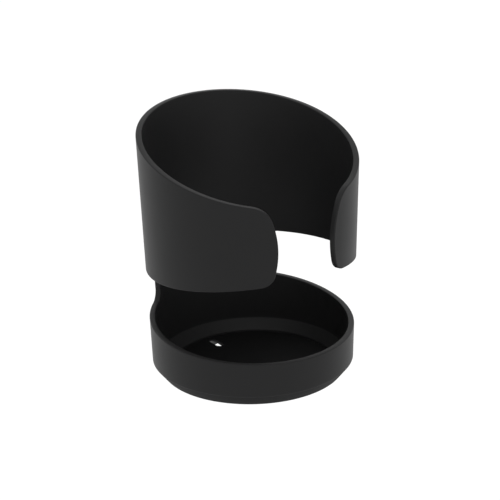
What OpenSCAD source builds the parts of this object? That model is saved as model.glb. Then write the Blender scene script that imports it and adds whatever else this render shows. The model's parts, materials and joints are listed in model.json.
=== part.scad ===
// Desk clamp cup holder: an open cup cage on a vertical swivel, carried by a screw clamp on the edge of a desk.
// Frame: the origin is the centre of the upper jaw pad's underside, on the desk top. +Y runs onto the desk, +Z is up.

/* [Cup cage] */
// Outside radius of the cage's wall where its cone would meet the tray's underside
cage_r = 42.6; // [40:0.1:43]
// Growth of the wall's radius for each millimetre of height
cage_taper = 0.0278; // [0.01:0.001:0.04]
// Thickness of the cage's wall
wall_t = 2.5; // [2:0.1:3]
// Radius of the tray's bottom edge, at the foot of the chamfer
bottom_r = 38.7; // [37:0.1:40]
// Height of the chamfer round the bottom edge
chamfer_h = 5.1; // [4:0.1:6]
// Height of the tray's rim above the bottom edge, at mid depth
rim_z = 22.3; // [20:0.1:24]
// Slope of the tray's rim, rising towards the spine
rim_slope = 0.105; // [0:0.001:0.12]
// Bow of the tray's rim, which flattens towards the front
rim_bow = 0.00046; // [0:0.00002:0.0008]
// Height of the collar's top edge at mid depth
top_z = 98.8; // [92:0.1:104]
// Slope of the collar's top edge, rising towards the spine
top_slope = 0.289; // [0.1:0.001:0.3]
// Bow of the slanted edge, which falls away a little faster towards the front
top_bow = 0.0007; // [0:0.0001:0.001]
// Height of the collar's lower edge at the spine
collar_z = 46.1; // [44:0.1:50]
// Rise of the collar's lower edge from the spine to the front
collar_rise = 7.2; // [3:0.1:8]
// How late the lower edge starts to climb on its way round to the front
collar_curve = 2.65; // [1:0.05:3]
// Angle that the top edge's slant is turned from the line of symmetry
top_turn = 3.5; // [0:0.5:4]
// Half angle that the spine spans at its narrowest
spine_angle = 40.8; // [36:0.1:44]
// Half width of the handle gap in the front of the collar, at its narrowest
gap_half_w = 13.1; // [11:0.1:15]
// Height of the gap's narrowest place
gap_z = 66.5; // [64:0.5:68]
// Radius of the bulge of the collar's two ends
end_bulge_r = 38; // [34:1:60]
// Corner radius at the top of the collar's two ends
end_top_r = 10; // [8:0.5:12]
// Corner radius at the bottom of the collar's two ends
end_low_r = 6; // [5:0.5:8]

/* [Tray] */
// Height where the tray's sloping ledge meets the wall
ledge_z = 4.9; // [4:0.1:6]
// Radius of the ledge's inner edge
ledge_r = 35; // [33:0.1:36]
// Height of the ledge's inner edge
ledge_low_z = 1.2; // [1:0.1:1.6]
// Depth of the tray's underside below its bottom edge
belly_depth = 1.2; // [1.1:0.1:1.6]
// Radius of the flat part of the underside
belly_r = 34.9; // [34.8:0.1:35.5]
// Thickness of the non-slip mat
mat_t = 0.6; // [0.5:0.1:0.8]
// Width of the drain slot
drain_w = 3.4; // [3:0.1:4]
// Length of the drain slot
drain_l = 10.2; // [8:0.2:10.4]
// Distance of the drain slot from the cup's axis, towards the spine
drain_y = 29.1; // [24:0.1:29.2]
// Angle that the drain slot is turned from the line of symmetry
drain_turn = 3.5; // [0:0.5:4]

/* [Swivel] */
// Distance from the cup's axis to the swivel's axis
swivel_reach = 58; // [58:0.5:64]
// Angle that the holder is swung to at rest, from straight out of the desk
swivel_rest = 31.3; // [-60:0.1:60]
// Swing each way from straight before the stop pin meets the end of its groove
swivel_limit = 60; // [40:1:62]
// Radius of the bracket's barrel
barrel_r = 11; // [11:0.1:11.2]
// Height of the barrel
barrel_h = 26; // [24:1:28]
// Height of the barrel's middle above the tray's bottom edge
barrel_z = 38; // [36:1:40]
// Radius of the pivot bolt
bolt_r = 3; // [2.5:0.5:3]

/* [Clamp] */
// Depth of the tray's bottom edge below the desk top
desk_drop = 66; // [64:1:68]
// Distance from the swivel's axis to the clamp screw's axis
jaw_reach = 46; // [46:1:50]
// Width of the clamp frame
frame_w = 23; // [22:0.5:24]
// Largest desk thickness that the jaws open to
jaw_max = 40; // [40:1:44]
// Smallest desk thickness that the jaws close to
jaw_min = 8; // [8:1:12]
// Desk thickness that the jaws are set to
jaw_rest = 25; // [12:1:38]
// Distance from the clamp screw's axis to the throat's back wall
throat = 24; // [22:1:26]
// Radius of the clamp screw's thread
screw_r = 3.95; // [3.9:0.01:3.98]
// Radius of the knob over its lobes
knob_r = 14; // [13:0.5:15]

/* [Hidden] */

curve = 96;                 // facets that a circle shows on screen
far = 70;                   // reach of a cutter past the cage
cone_h = 116;               // height of the cage's cone before it is trimmed
mat_gap = 0.15;             // gap between the mat's edge and its recess
mat_z = -0.1;               // height of the recess that holds the mat

window_low_r = 4.3;         // fillet between the tray's rim and the spine
window_high_r = 5;          // fillet between the spine and the collar
spine_y = (cage_r + cage_taper * 30) * cos(spine_angle);
end_low_z = collar_low(-0.9 * cage_r);  // height of the collar's lower edge beside the gap
end_high_z = top(-0.83 * cage_r);       // height of the top edge beside the gap

screw_zs = [31, 45];        // heights of the two screws that hold the bracket to the spine
screw_shank_r = 2;
screw_head_r = 3.7;
screw_head_h = 1.9;
insert_r = 2.8;
insert_l = 6.8;
pad_t = 5;                  // thickness of the bracket's pad on the spine
pad_half_w = 14;
pad_half_h = barrel_h / 2 - 0.5;

bush_r = 5;                 // outside radius of the bushes' sleeves
bush_flange_r = 6;
bush_flange_t = 0.9;
bush_gap = 0.06;            // running clearance of the bushes on the bolt
ear_r = 11.5;
ear_t = 7;
ear_gap = 1;                // space between the barrel's end and an ear
pin_r = 1.5;
pin_reach = 8;              // distance of the stop pin from the swivel's axis
pin_drop = 2.4;             // how far the pin stands into the barrel's groove
groove_depth = 2.8;
groove_half = swivel_limit + asin(pin_r / pin_reach) + 1.2;

barrel_mid = barrel_z - desk_drop;      // the barrel's middle in the clamp's frame
ear_inner = barrel_h / 2 + ear_gap;     // from the barrel's middle to the inner face of an ear
ear_top = barrel_mid + ear_inner + ear_t;
ear_low = barrel_mid - ear_inner - ear_t;
pivot_y = -jaw_reach;

jaw_pad_t = 2;
arm_t = 8;
low_arm_t = 10;
web_t = 8;
plate_t = 3;                // disc of the pressure plate
plate_r = 12;
hub_r = 6.5;
hub_h = 5;                  // hub below the disc
foot_h = jaw_pad_t + plate_t + hub_h;
arm_top = jaw_pad_t + arm_t;
throat_low = -jaw_max - foot_h - 0.5;   // upper face of the lower arm
frame_low = throat_low - low_arm_t;
jaw_end = 18;
frame_back = -throat - web_t;
boss_r = 10;
bush_out_r = 6.5;           // outside of the threaded bush
bush_collar_r = 8.5;
collar_t = 1.5;
boss_low = frame_low - 3;

plate_z = -jaw_rest - jaw_pad_t;        // top of the pressure plate
hub_low = plate_z - plate_t - hub_h;
washer_t = 1.2;
spring_h = 1.5;
nut_top = ear_low - washer_t - spring_h;
nut_h = 5.8;
nut_ring_h = 1.8;

spigot_r = 3;
clip_t = 0.8;
clip_z = plate_z - 1.4;     // underside of the retaining ring
clip_in_r = 2.4;
clip_out_r = 4.6;
thrust_gap = 0.1;           // play between the screw's shoulder and the hub
knob_h = 16;
knob_top = boss_low - (jaw_rest - jaw_min) - 0.5;
knob_low = knob_top - knob_h;
lobes = 6;
insert_h = 8;               // hex insert moulded into the knob
insert_across = 10;
cap_t = 2;
cap_r = 8;

// Outside radius of the cage at a height above the tray's bottom edge.
function cage_out(z) = cage_r + cage_taper * z;
// Height of the collar's lower edge, level at the spine and rising round to the front.
function collar_low(y) = collar_z + collar_rise * pow((1 - y / cage_r) / 2, collar_curve);
function rim(y) = rim_z + rim_slope * y + rim_bow * y * y;
function top(y) = top_z + top_slope * y - top_bow * y * y;

// Puts something drawn round the cup's axis, with its spine on +Y, where the swung holder stands.
module in_holder()
    translate([0, pivot_y, -desk_drop]) rotate(swivel_rest) translate([0, -swivel_reach, 0]) children();

module at_pivot(z = 0)
    translate([0, pivot_y, z]) children();

// A plate seen from the side, with its outline in Y and Z and its width along X.
module side_plate(width)
    rotate([90, 0, 90]) linear_extrude(width, center = true) children();

module ring(outer, inner, height)
    difference() {
        cylinder(height, r = outer, $fn = curve);
        translate([0, 0, -1]) cylinder(height + 2, r = inner, $fn = curve);
    }

module rounded_box_2d(low, high, r) {
    translate([low[0] + r, low[1]]) square([high[0] - low[0] - 2 * r, high[1] - low[1]]);
    translate([low[0], low[1] + r]) square([high[0] - low[0], high[1] - low[1] - 2 * r]);
    for (x = [low[0] + r, high[0] - r], y = [low[1] + r, high[1] - r])
        translate([x, y]) circle(r, $fn = curve);
}

// The cage's cone with its chamfered bottom, ledge and recess for the mat.
module cage_shell()
    rotate_extrude($fn = curve) polygon([
        [0, -belly_depth], [belly_r, -belly_depth], [bottom_r, 0], [cage_out(chamfer_h), chamfer_h],
        [cage_out(cone_h), cone_h], [cage_out(cone_h) - wall_t, cone_h], [cage_out(ledge_z) - wall_t, ledge_z],
        [ledge_r, ledge_low_z], [ledge_r - 0.1, mat_z], [0, mat_z]]);

// The opening between the tray and the collar, which leaves only the spine standing.
module window_2d() {
    low_c = [spine_y - window_low_r, rim(spine_y - window_low_r) + window_low_r];
    high_c = [spine_y - window_high_r, collar_low(spine_y) - window_high_r];
    polygon(concat(
        [for (y = [-54:12:18]) [y, rim(y)]],
        [for (a = [-84:14:0]) low_c + window_low_r * [cos(a), sin(a)]],
        [for (a = [0:15:90]) high_c + window_high_r * [cos(a), sin(a)]],
        [for (y = [24:-6:-42]) [y, collar_low(y)]],
        [[-54, collar_low(-42) + 2]]));
}

module above_top_2d()
    polygon(concat([for (y = [-60:12:60]) [y, top(y)]], [[60, 2 * far], [-60, 2 * far]]));

// Half width of the handle gap where the collar's end bulges into it.
function gap_x(z) = gap_half_w + pow(z - gap_z, 2) / (2 * end_bulge_r);
function end_lean(z) = atan((z - gap_z) / end_bulge_r);

// An arc of a corner at the collar's end, from the bulge at height z round to angle last.
function end_corner(z, r, last) =
    let (lean = end_lean(z), centre = [gap_x(z) + r * cos(lean), z - r * sin(lean)], first = 180 - lean)
    [for (i = [0:6]) centre + r * [cos(first + (last - first) * i / 6), sin(first + (last - first) * i / 6)]];

// The handle gap seen from the front: narrowest between the bulging ends, wider above and below them.
module handle_gap_2d() {
    low_t = end_low_z + 0.77 * end_low_r;
    high_t = end_high_z - 0.58 * end_top_r;
    low = end_corner(low_t, end_low_r, 270);
    high = end_corner(high_t, end_top_r, 90);
    side = concat(
        [[low[6][0], end_low_z - 12]],
        [for (i = [6:-1:0]) low[i]],
        [for (i = [1:7]) let (z = low_t + (high_t - low_t) * i / 8) [gap_x(z), z]],
        high,
        [[high[6][0], 2 * far]]);
    polygon(concat(side, [for (i = [len(side) - 1:-1:0]) [-side[i][0], side[i][1]]]));
}

// A slot through the floor that runs out towards the spine, less a length cut short at its outer end.
module drain_slot(short = 0) rotate(drain_turn) {
    near = drain_y - (drain_l - drain_w) / 2;
    span = drain_l - drain_w - short;
    for (y = [near, near + span]) translate([0, y, -5]) cylinder(10, d = drain_w, $fn = curve);
    translate([-drain_w / 2, near, -5]) cube([drain_w, span, 10]);
}

// A countersunk screw's shape, entering the spine from inside the cage.
module bracket_screw_shape(z, length) {
    head_y = cage_out(z) - wall_t + 0.2;
    translate([0, head_y, z]) rotate([-90, 0, 0]) {
        cylinder(screw_head_h, screw_head_r, screw_shank_r, $fn = 48);
        cylinder(length, r = screw_shank_r, $fn = 48);
    }
}

module cup_cage()
    color("#2b2b2d") in_holder() difference() {
        cage_shell();
        rotate(-top_turn) side_plate(2 * far) above_top_2d();
        side_plate(2 * far) window_2d();
        rotate([90, 0, 0]) linear_extrude(far) handle_gap_2d();
        drain_slot();
        for (z = screw_zs) {
            bracket_screw_shape(z, 8);
            translate([0, 30, z]) rotate([-90, 0, 0])
                cylinder(cage_out(z) - wall_t + 0.2 - 30, r = screw_head_r, $fn = 48);
        }
    }

module tray_mat()
    color("#1b1b1c") in_holder() difference() {
        translate([0, 0, mat_z]) cylinder(mat_t, r = ledge_r - 0.1 - mat_gap, $fn = curve);
        drain_slot(2);
    }

// The pad that sits on the spine, an arm and the upright barrel that turns between the clamp's ears.
module swivel_bracket()
    color("#303032") in_holder() difference() {
        union() {
            intersection() {
                translate([0, 0, barrel_z - pad_half_h]) cylinder(2 * pad_half_h,
                    cage_out(barrel_z - pad_half_h) + pad_t, cage_out(barrel_z + pad_half_h) + pad_t, $fn = curve);
                translate([-pad_half_w, 30, barrel_z - pad_half_h]) cube([2 * pad_half_w, 30, 2 * pad_half_h]);
            }
            translate([-6.5, 35, barrel_z - 10.5]) cube([13, swivel_reach - 37, 21]);
            translate([0, swivel_reach, barrel_z - barrel_h / 2]) cylinder(barrel_h, r = barrel_r, $fn = curve);
        }
        cylinder(cone_h, cage_out(0), cage_out(cone_h), $fn = curve);
        translate([0, swivel_reach, 0]) cylinder(far, r = bush_r, $fn = curve);
        for (z = screw_zs) translate([0, 40, z]) rotate([-90, 0, 0])
            cylinder(cage_out(z) + insert_l - 40, r = insert_r, $fn = 48);
        translate([0, swivel_reach, barrel_z + barrel_h / 2 - groove_depth]) rotate(90 - groove_half)
            rotate_extrude(angle = 2 * groove_half, $fn = curve)
                translate([pin_reach - pin_r - 0.2, 0]) square([2 * pin_r + 0.4, groove_depth + 1]);
    }

module bracket_screws()
    color("#8d8f92") in_holder() for (z = screw_zs) difference() {
        bracket_screw_shape(z, 8.6);
        translate([0, cage_out(z) - wall_t - 0.5, z]) rotate([-90, 0, 0]) cylinder(2, r = 1.2, $fn = 6);
    }

module bracket_inserts()
    color("#b08d45") in_holder() for (z = screw_zs)
        translate([0, cage_out(z) + 0.3, z]) rotate([-90, 0, 0]) ring(insert_r, screw_shank_r, insert_l - 0.4);

// Two flanged plastic sleeves, one in each end of the barrel.
module swivel_bushes()
    color("#d8d4c8") at_pivot(barrel_mid) for (up = [0, 1]) mirror([0, 0, up]) difference() {
        union() {
            translate([0, 0, 1]) cylinder(barrel_h / 2 - 1, r = bush_r, $fn = curve);
            translate([0, 0, barrel_h / 2]) cylinder(bush_flange_t, r = bush_flange_r, $fn = curve);
        }
        cylinder(barrel_h, r = bolt_r + bush_gap, $fn = curve);
    }

module frame_outline(inset = 0)
    difference() {
        rounded_box_2d([frame_back + inset, frame_low + inset], [jaw_end - inset, arm_top - inset], 7 - inset);
        rounded_box_2d([-throat - inset, throat_low - inset], [far, jaw_pad_t + inset], 4 + inset);
    }

// The C-shaped body: upper arm, web, lower arm with the screw's boss, and two ears for the swivel.
module clamp_frame()
    color("#29292b") difference() {
        union() {
            difference() {
                side_plate(frame_w) frame_outline();
                for (side = [-1, 1]) translate([side * frame_w / 2, 0, 0]) side_plate(9) frame_outline(2.6);
            }
            translate([0, 0, boss_low]) cylinder(throat_low - boss_low, r = boss_r, $fn = curve);
            for (z = [ear_low, ear_top - ear_t]) {
                at_pivot(z) cylinder(ear_t, r = ear_r, $fn = curve);
                translate([-ear_r, pivot_y, z]) cube([2 * ear_r, frame_back + 1 - pivot_y, ear_t]);
            }
        }
        translate([0, 0, boss_low - 1]) cylinder(throat_low - boss_low + 2, r = bush_out_r, $fn = curve);
        translate([0, 0, boss_low - 1]) cylinder(1 + collar_t, r = bush_collar_r, $fn = curve);
        at_pivot(-far) cylinder(2 * far, r = bolt_r + 0.05, $fn = curve);
        at_pivot(barrel_mid) translate([0, pin_reach, 0]) cylinder(ear_inner + 5, r = pin_r, $fn = 48);
    }

module upper_jaw_pad()
    color("#3a3a3c") linear_extrude(jaw_pad_t) rounded_box_2d([-9.5, -17], [9.5, 16], 4);

// A thin pad on the throat's back wall, where the desk's edge bears.
module desk_edge_pad()
    color("#3a3a3c") translate([0, -throat, 0]) rotate([-90, 0, 0]) linear_extrude(1.5)
        rounded_box_2d([-8.5, 6], [8.5, 40], 3);

module pivot_bolt()
    color("#9a9ca0") at_pivot() difference() {
        union() {
            translate([0, 0, ear_low - 9.6]) cylinder(ear_top - ear_low + 10, r = bolt_r, $fn = 64);
            translate([0, 0, ear_top]) cylinder(2.2, r = 5.2, $fn = 64);
            translate([0, 0, ear_top + 2.2]) cylinder(1.2, 5.2, 4, $fn = 64);
        }
        translate([0, 0, ear_top + 1.2]) cylinder(5, d = 4 / cos(30), $fn = 6);
    }

module pivot_washer()
    color("#b4b6b9") at_pivot(ear_low - washer_t) ring(6.2, bolt_r + 0.2, washer_t);

// A coned spring washer that keeps the swivel's pinch even.
module disc_spring()
    color("#6d6f72") at_pivot(ear_low - washer_t - spring_h) rotate_extrude($fn = curve)
        polygon([[bolt_r + 0.15, 0], [bolt_r + 1, 0], [6, spring_h - 0.7], [6, spring_h], [5.2, spring_h],
                 [bolt_r + 0.15, 0.7]]);

module lock_nut()
    color("#a5a7aa") at_pivot(nut_top - nut_h) difference() {
        union() {
            translate([0, 0, nut_ring_h]) cylinder(nut_h - nut_ring_h, d = 10 / cos(30), $fn = 6);
            cylinder(nut_ring_h, r = 4.9, $fn = 64);
        }
        translate([0, 0, -1]) cylinder(nut_h + 2, r = bolt_r, $fn = 64);
        translate([0, 0, -1]) cylinder(nut_ring_h + 1, r = 4.1, $fn = 64);
    }

module lock_nut_ring()
    color("#3f6fb5") at_pivot(nut_top - nut_h + 0.2) ring(4.1, bolt_r, nut_ring_h - 0.2);

// The pin under the upper ear that stops the swing at each end of the barrel's groove.
module stop_pin()
    color("#8f9194") at_pivot(barrel_mid + barrel_h / 2 - pin_drop) translate([0, pin_reach, 0])
        cylinder(ear_gap + pin_drop + 5, r = pin_r, $fn = 48);

module thread_bush()
    color("#b08d45") translate([0, 0, boss_low]) difference() {
        union() {
            cylinder(throat_low - boss_low, r = bush_out_r, $fn = curve);
            cylinder(collar_t, r = bush_collar_r, $fn = curve);
        }
        translate([0, 0, -1]) cylinder(far, r = screw_r + 0.05, $fn = curve);
    }

module pressure_plate()
    color("#8f9194") difference() {
        union() {
            translate([0, 0, plate_z - plate_t]) cylinder(plate_t, r = plate_r, $fn = curve);
            translate([0, 0, hub_low]) cylinder(hub_h + 1, r = hub_r, $fn = curve);
        }
        translate([0, 0, hub_low - 1]) cylinder(far, r = spigot_r + 0.05, $fn = curve);
        translate([0, 0, clip_z - 0.2]) cylinder(far, r = clip_out_r + 0.4, $fn = curve);
    }

module lower_jaw_pad()
    color("#3a3a3c") translate([0, 0, plate_z]) cylinder(jaw_pad_t, r = plate_r - 0.5, $fn = curve);

// The screw, with a spigot that turns in the pressure plate and a groove for its retaining ring.
module clamp_screw()
    color("#a5a7aa") difference() {
        union() {
            translate([0, 0, knob_low + 4]) cylinder(hub_low - thrust_gap - knob_low - 4, r = screw_r, $fn = curve);
            translate([0, 0, hub_low - 1]) cylinder(plate_z - 0.2 - hub_low + 1, r = spigot_r, $fn = curve);
        }
        translate([0, 0, clip_z]) ring(far, clip_in_r, clip_t);
    }

module retaining_ring()
    color("#5c5e61") translate([0, 0, clip_z]) difference() {
        ring(clip_out_r, clip_in_r, clip_t);
        translate([-1.6, 0, -1]) cube([3.2, 10, 5]);
    }

// A star knob with round lobes, hollow above for its insert and below for its cap.
module knob()
    color("#2b2b2d") translate([0, 0, knob_low]) difference() {
        union() {
            cylinder(knob_h - 3, r = knob_r, $fn = curve);
            translate([0, 0, knob_h - 3]) cylinder(3, knob_r, 9, $fn = curve);
        }
        for (i = [0:lobes - 1]) rotate((i + 0.5) * 360 / lobes) translate([knob_r + 3.4, 0, -1])
            cylinder(knob_h + 2, r = 5.5, $fn = 64);
        translate([0, 0, 4]) cylinder(knob_h, r = screw_r, $fn = curve);
        translate([0, 0, knob_h - insert_h]) cylinder(knob_h, d = insert_across / cos(30), $fn = 6);
        translate([0, 0, -1]) cylinder(1 + cap_t, r = cap_r, $fn = curve);
    }

module knob_insert()
    color("#b08d45") translate([0, 0, knob_top - insert_h]) difference() {
        cylinder(insert_h, d = insert_across / cos(30), $fn = 6);
        translate([0, 0, -1]) cylinder(insert_h + 2, r = screw_r, $fn = curve);
    }

module knob_cap()
    color("#3c3c3f") translate([0, 0, knob_low]) cylinder(cap_t, r = cap_r, $fn = curve);

cup_cage();
tray_mat();
swivel_bracket();
bracket_screws();
bracket_inserts();
swivel_bushes();
clamp_frame();
upper_jaw_pad();
desk_edge_pad();
pivot_bolt();
pivot_washer();
disc_spring();
lock_nut();
lock_nut_ring();
stop_pin();
thread_bush();
pressure_plate();
lower_jaw_pad();
clamp_screw();
retaining_ring();
knob();
knob_insert();
knob_cap();
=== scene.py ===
import bmesh
import bpy
import json
import math
from mathutils import Matrix, Vector
from mathutils.geometry import delaunay_2d_cdt
from mathutils.kdtree import KDTree


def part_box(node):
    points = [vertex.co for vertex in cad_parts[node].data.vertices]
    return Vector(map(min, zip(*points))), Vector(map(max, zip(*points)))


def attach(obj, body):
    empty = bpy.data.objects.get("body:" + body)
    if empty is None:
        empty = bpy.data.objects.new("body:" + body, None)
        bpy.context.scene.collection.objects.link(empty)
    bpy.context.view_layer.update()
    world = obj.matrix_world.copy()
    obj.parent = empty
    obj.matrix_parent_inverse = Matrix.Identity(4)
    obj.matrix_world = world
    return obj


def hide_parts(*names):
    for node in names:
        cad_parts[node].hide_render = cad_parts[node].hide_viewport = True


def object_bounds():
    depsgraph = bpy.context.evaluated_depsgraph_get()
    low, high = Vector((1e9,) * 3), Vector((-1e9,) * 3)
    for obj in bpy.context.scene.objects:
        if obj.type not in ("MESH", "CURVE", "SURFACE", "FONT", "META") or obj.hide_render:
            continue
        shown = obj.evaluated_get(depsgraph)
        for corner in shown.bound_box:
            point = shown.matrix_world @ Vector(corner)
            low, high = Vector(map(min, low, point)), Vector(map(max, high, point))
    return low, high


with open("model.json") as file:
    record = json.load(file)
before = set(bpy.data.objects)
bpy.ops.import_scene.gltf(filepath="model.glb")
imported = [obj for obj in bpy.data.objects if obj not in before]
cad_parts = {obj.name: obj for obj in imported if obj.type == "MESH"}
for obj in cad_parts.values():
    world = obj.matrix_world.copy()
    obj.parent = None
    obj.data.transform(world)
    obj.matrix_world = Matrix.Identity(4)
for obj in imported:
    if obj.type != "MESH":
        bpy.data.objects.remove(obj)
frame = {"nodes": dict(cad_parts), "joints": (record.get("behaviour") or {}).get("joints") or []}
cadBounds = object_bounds()
mm = 0.001
print("frame loaded:", len(frame["nodes"]), "nodes")


def boxCentre(node):
    low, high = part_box(node)
    return (Vector(low) + Vector(high)) / 2


def jointPlace(name):
    joint = [j for j in frame["joints"] if j["name"] == name][0]
    return Vector(joint["pos_m"])


cupAxis = boxCentre("tray_mat")
swivelAxis = jointPlace("holder_swivel")
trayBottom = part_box("cup_cage")[0][2] + 1.2 * mm    # the belly hangs this far under the bottom edge
cupFoot = Vector((cupAxis.x, cupAxis.y, trayBottom))
towardSpine = Vector((swivelAxis.x - cupAxis.x, swivelAxis.y - cupAxis.y, 0)).normalized()
acrossSpine = Vector((towardSpine.y, -towardSpine.x, 0))


def holderPoint(x, y, z):
    # mm, round the cup's axis, with the spine on +y
    return cupFoot + (acrossSpine * x + towardSpine * y + Vector((0, 0, z))) * mm


class Value:
    # one socket, with arithmetic that adds Math nodes
    def __init__(self, shader, socket):
        self.shader = shader
        self.socket = socket

    def maths(self, operation, first, second):
        return self.shader.node("ShaderNodeMath", {"operation": operation}, {0: first, 1: second}, out=0)

    def __add__(self, other):
        return self.maths("ADD", self, other)

    def __radd__(self, other):
        return self.maths("ADD", other, self)

    def __sub__(self, other):
        return self.maths("SUBTRACT", self, other)

    def __rsub__(self, other):
        return self.maths("SUBTRACT", other, self)

    def __mul__(self, other):
        return self.maths("MULTIPLY", self, other)

    def __rmul__(self, other):
        return self.maths("MULTIPLY", other, self)


class Shader:
    def __init__(self, name):
        self.material = bpy.data.materials.new(name)
        self.material.use_nodes = True
        self.tree = self.material.node_tree
        self.surface = self.tree.nodes["Principled BSDF"]
        self.place = self.node("ShaderNodeTexCoord", out="Object")

    def node(self, kind, settings=None, inputs=None, out=None):
        made = self.tree.nodes.new(kind)
        for key, setting in (settings or {}).items():
            setattr(made, key, setting)
        for key, given in (inputs or {}).items():
            self.feed(made.inputs[key], given)
        return made if out is None else Value(self, made.outputs[out])

    def feed(self, socket, given):
        if isinstance(given, Value):
            self.tree.links.new(given.socket, socket)
        else:
            socket.default_value = given

    def shine(self, **given):
        for key, setting in given.items():
            self.feed(self.surface.inputs[key.replace("_", " ")], setting)

    def noise(self, scale, detail=3, roughness=0.55, stretch=(1, 1, 1)):
        at = self.node("ShaderNodeMapping", {}, {"Vector": self.place, "Scale": stretch}, out=0)
        return self.node("ShaderNodeTexNoise", {}, {"Vector": at, "Scale": scale, "Detail": detail,
                                                    "Roughness": roughness}, out="Fac")

    def cells(self, scale):
        return self.node("ShaderNodeTexVoronoi", {"feature": "F1"},
                         {"Vector": self.place, "Scale": scale}, out="Distance")

    def blendColours(self, amount, first, second):
        return self.node("ShaderNodeMix", {"data_type": "RGBA"}, {0: amount, 6: tuple(first) + (1,),
                                                                  7: tuple(second) + (1,)}, out=2)

    def between(self, value, low, high):
        return self.node("ShaderNodeMapRange", {}, {"Value": value, "To Min": low, "To Max": high}, out=0)

    def above(self, value, level):
        # 0 below the level, rising to 1 just over it
        return self.node("ShaderNodeMapRange", {"interpolation_type": "SMOOTHSTEP"},
                         {"Value": value, "From Min": level, "From Max": level + 0.08}, out=0)

    def bump(self, height, distance, strength=1.0):
        return self.node("ShaderNodeBump", {},
                         {"Height": height, "Distance": distance, "Strength": strength}, out="Normal")


def mouldedPlastic(name, dark, light, roughness, grain, gloss, bite=0.5):
    # spark-eroded mould texture: fine grain, a slow drift in the sheen and faint rubbed patches
    shader = Shader(name)
    fine = shader.noise(grain, 4, 0.7)
    pits = shader.cells(grain * 0.8)
    drift = shader.noise(38, 3)
    rubbed = shader.noise(120, 5, 0.6)
    shader.shine(Base_Color=shader.blendColours(shader.between(drift, 0.1, 0.9), dark, light),
                 Roughness=shader.between(drift * 0.6 + rubbed * 0.4, roughness - 0.06, roughness + 0.06),
                 Specular_IOR_Level=gloss,
                 Normal=shader.bump(fine * 0.6 + pits * 0.4, 0.00005, bite))
    return shader.material


def platedSteel(name, dull, bright, roughness, along=(1, 1, 1), grain=900):
    # a thin plated skin over turned steel: fine machining lines, cloudy passivation and a few dull specks
    shader = Shader(name)
    cloud = shader.noise(160, 4, 0.6)
    lines = shader.noise(grain, 3, 0.6, along)
    specks = shader.above(shader.noise(1400, 2, 0.5), 0.66)
    shader.shine(Base_Color=shader.blendColours(cloud * 0.7 + lines * 0.3 - specks * 0.4, dull, bright),
                 Metallic=1.0,
                 Roughness=shader.between(cloud * 0.5 + lines * 0.5, roughness - 0.08, roughness + 0.1),
                 Normal=shader.bump(lines, 0.00002, 0.35))
    return shader.material


def powderCoat(name, dark, light, roughness):
    # baked powder: an orange-peel surface with a fine sparkle and scattered patches of dust
    shader = Shader(name)
    peel = shader.noise(700, 2, 0.4)
    fine = shader.noise(2600, 3, 0.6)
    dust = shader.above(shader.noise(55, 5, 0.6), 0.6)
    shader.shine(Base_Color=shader.blendColours(fine * 0.6 + dust * 0.3, dark, light),
                 Roughness=shader.between(peel * 0.6 + dust * 0.4, roughness - 0.07, roughness + 0.1),
                 Specular_IOR_Level=0.4, Coat_Weight=0.15 - dust * 0.1,
                 Normal=shader.bump(peel * 0.75 + fine * 0.25, 0.00009, 0.6))
    return shader.material


def softRubber(name, dark, light, roughness, grain, gloss=0.3):
    # matte rubber with a fine cloth-like bloom
    shader = Shader(name)
    bloom = shader.noise(90, 4, 0.6)
    fine = shader.noise(grain, 4, 0.7)
    shader.shine(Base_Color=shader.blendColours(bloom * 0.7 + fine * 0.3, dark, light),
                 Roughness=shader.between(bloom, roughness - 0.06, roughness + 0.08),
                 Specular_IOR_Level=gloss,
                 Normal=shader.bump(fine, 0.00006, 0.5))
    return shader.material


plastic = {"dark": (0.0096, 0.0096, 0.0098), "light": (0.0120, 0.0120, 0.0123), "roughness": 0.46,
           "grain": 3200, "gloss": 0.155}
cagePlastic = mouldedPlastic("cagePlastic", **plastic)
# painted shade: a duller, less reflective copy of the cage plastic for the down-facing chamfer and the
# underside, standing in for the shadowed floor they would reflect
shadedUndersidePlastic = mouldedPlastic("shadedUndersidePlastic", (0.0110, 0.0110, 0.0113), (0.0135, 0.0135, 0.0138),
                                  0.6, 2600, 0.04)
matRubber = softRubber("matRubber", (0.0026, 0.0026, 0.0028), (0.0038, 0.0038, 0.0040), 0.7, 2400, 0.14)
bracketPlastic = mouldedPlastic("bracketPlastic", (0.0050, 0.0050, 0.0053), (0.0072, 0.0072, 0.0075), 0.5,
                                2300, 0.35)
knobPlastic = mouldedPlastic("knobPlastic", (0.0045, 0.0045, 0.0048), (0.0070, 0.0070, 0.0073), 0.42,
                             1800, 0.4)
capPlastic = mouldedPlastic("capPlastic", (0.0120, 0.0120, 0.0125), (0.0160, 0.0160, 0.0165), 0.28, 900,
                            0.5, 0.15)
framePaint = powderCoat("framePaint", (0.0080, 0.0080, 0.0084), (0.0150, 0.0150, 0.0155), 0.5)
padRubber = softRubber("padRubber", (0.0160, 0.0160, 0.0165), (0.0260, 0.0260, 0.0265), 0.7, 1500)
boltSteel = platedSteel("boltSteel", (0.42, 0.43, 0.45), (0.66, 0.67, 0.69), 0.34)
screwSteel = platedSteel("screwSteel", (0.40, 0.41, 0.42), (0.68, 0.69, 0.71), 0.3, (1, 1, 6))
plateSteel = platedSteel("plateSteel", (0.38, 0.39, 0.41), (0.60, 0.61, 0.63), 0.36, (1, 1, 8))
springSteel = platedSteel("springSteel", (0.16, 0.165, 0.18), (0.30, 0.31, 0.33), 0.4)
clipSteel = platedSteel("clipSteel", (0.09, 0.09, 0.095), (0.19, 0.19, 0.20), 0.5)
insertBrass = platedSteel("insertBrass", (0.50, 0.34, 0.13), (0.78, 0.58, 0.28), 0.3, (1, 1, 7))
bushNylon = mouldedPlastic("bushNylon", (0.62, 0.59, 0.50), (0.72, 0.69, 0.60), 0.38, 1400, 0.5, 0.2)
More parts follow.
